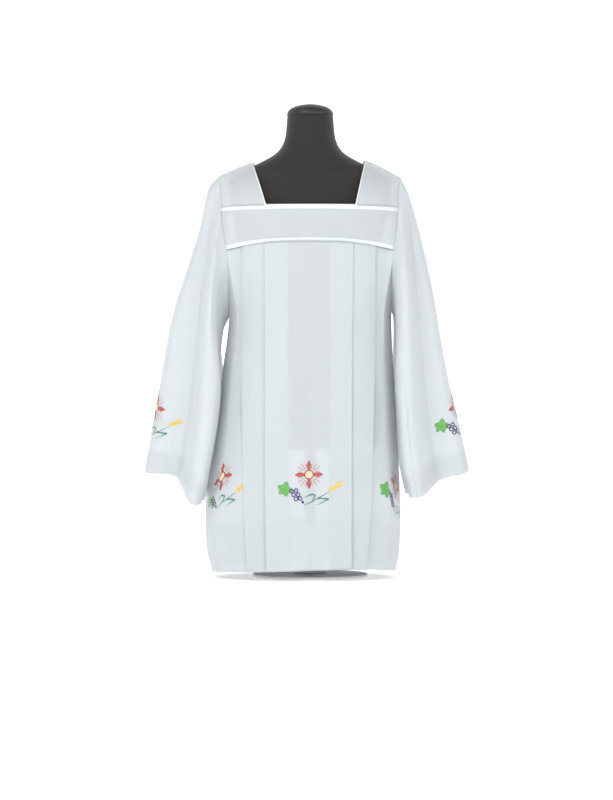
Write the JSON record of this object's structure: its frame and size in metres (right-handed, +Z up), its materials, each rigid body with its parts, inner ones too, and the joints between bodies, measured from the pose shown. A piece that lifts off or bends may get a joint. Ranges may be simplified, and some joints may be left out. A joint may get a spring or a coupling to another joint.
{
  "type": "surplice on a limbless dress form",
  "caption": "White sheer pleated surplice with square neck, wide sleeves and stitched crosses, standing on a dark limbless dress form.",
  "frame": {"origin": "on the floor, under the middle of the whole object's box", "axes": "+Z up, the garment's front faces -Y, +X is to the right of somebody looking at the front"},
  "size_m": [0.7912, 0.3682, 1.152],
  "materials": {
    "sheer_cloth": "satin",
    "form_cover": "matte",
    "form_cap": "satin",
    "post_steel": "brushed",
    "base_paint": "satin",
    "embroidery_thread": "satin"
  },
  "bodies": {
    "root": {"front_yoke_left": "sheer_cloth", "front_yoke_right": "sheer_cloth", "back_yoke": "sheer_cloth", "chest_band": "sheer_cloth", "back_band": "sheer_cloth", "skirt_front": "sheer_cloth", "skirt_back": "sheer_cloth", "sleeve_left": "sheer_cloth", "sleeve_right": "sheer_cloth", "neck_facing": "sheer_cloth", "form_torso": "form_cover", "form_neck_cap": "form_cap", "form_post": "post_steel", "form_base": "base_paint"}
  },
  "joints": []
}
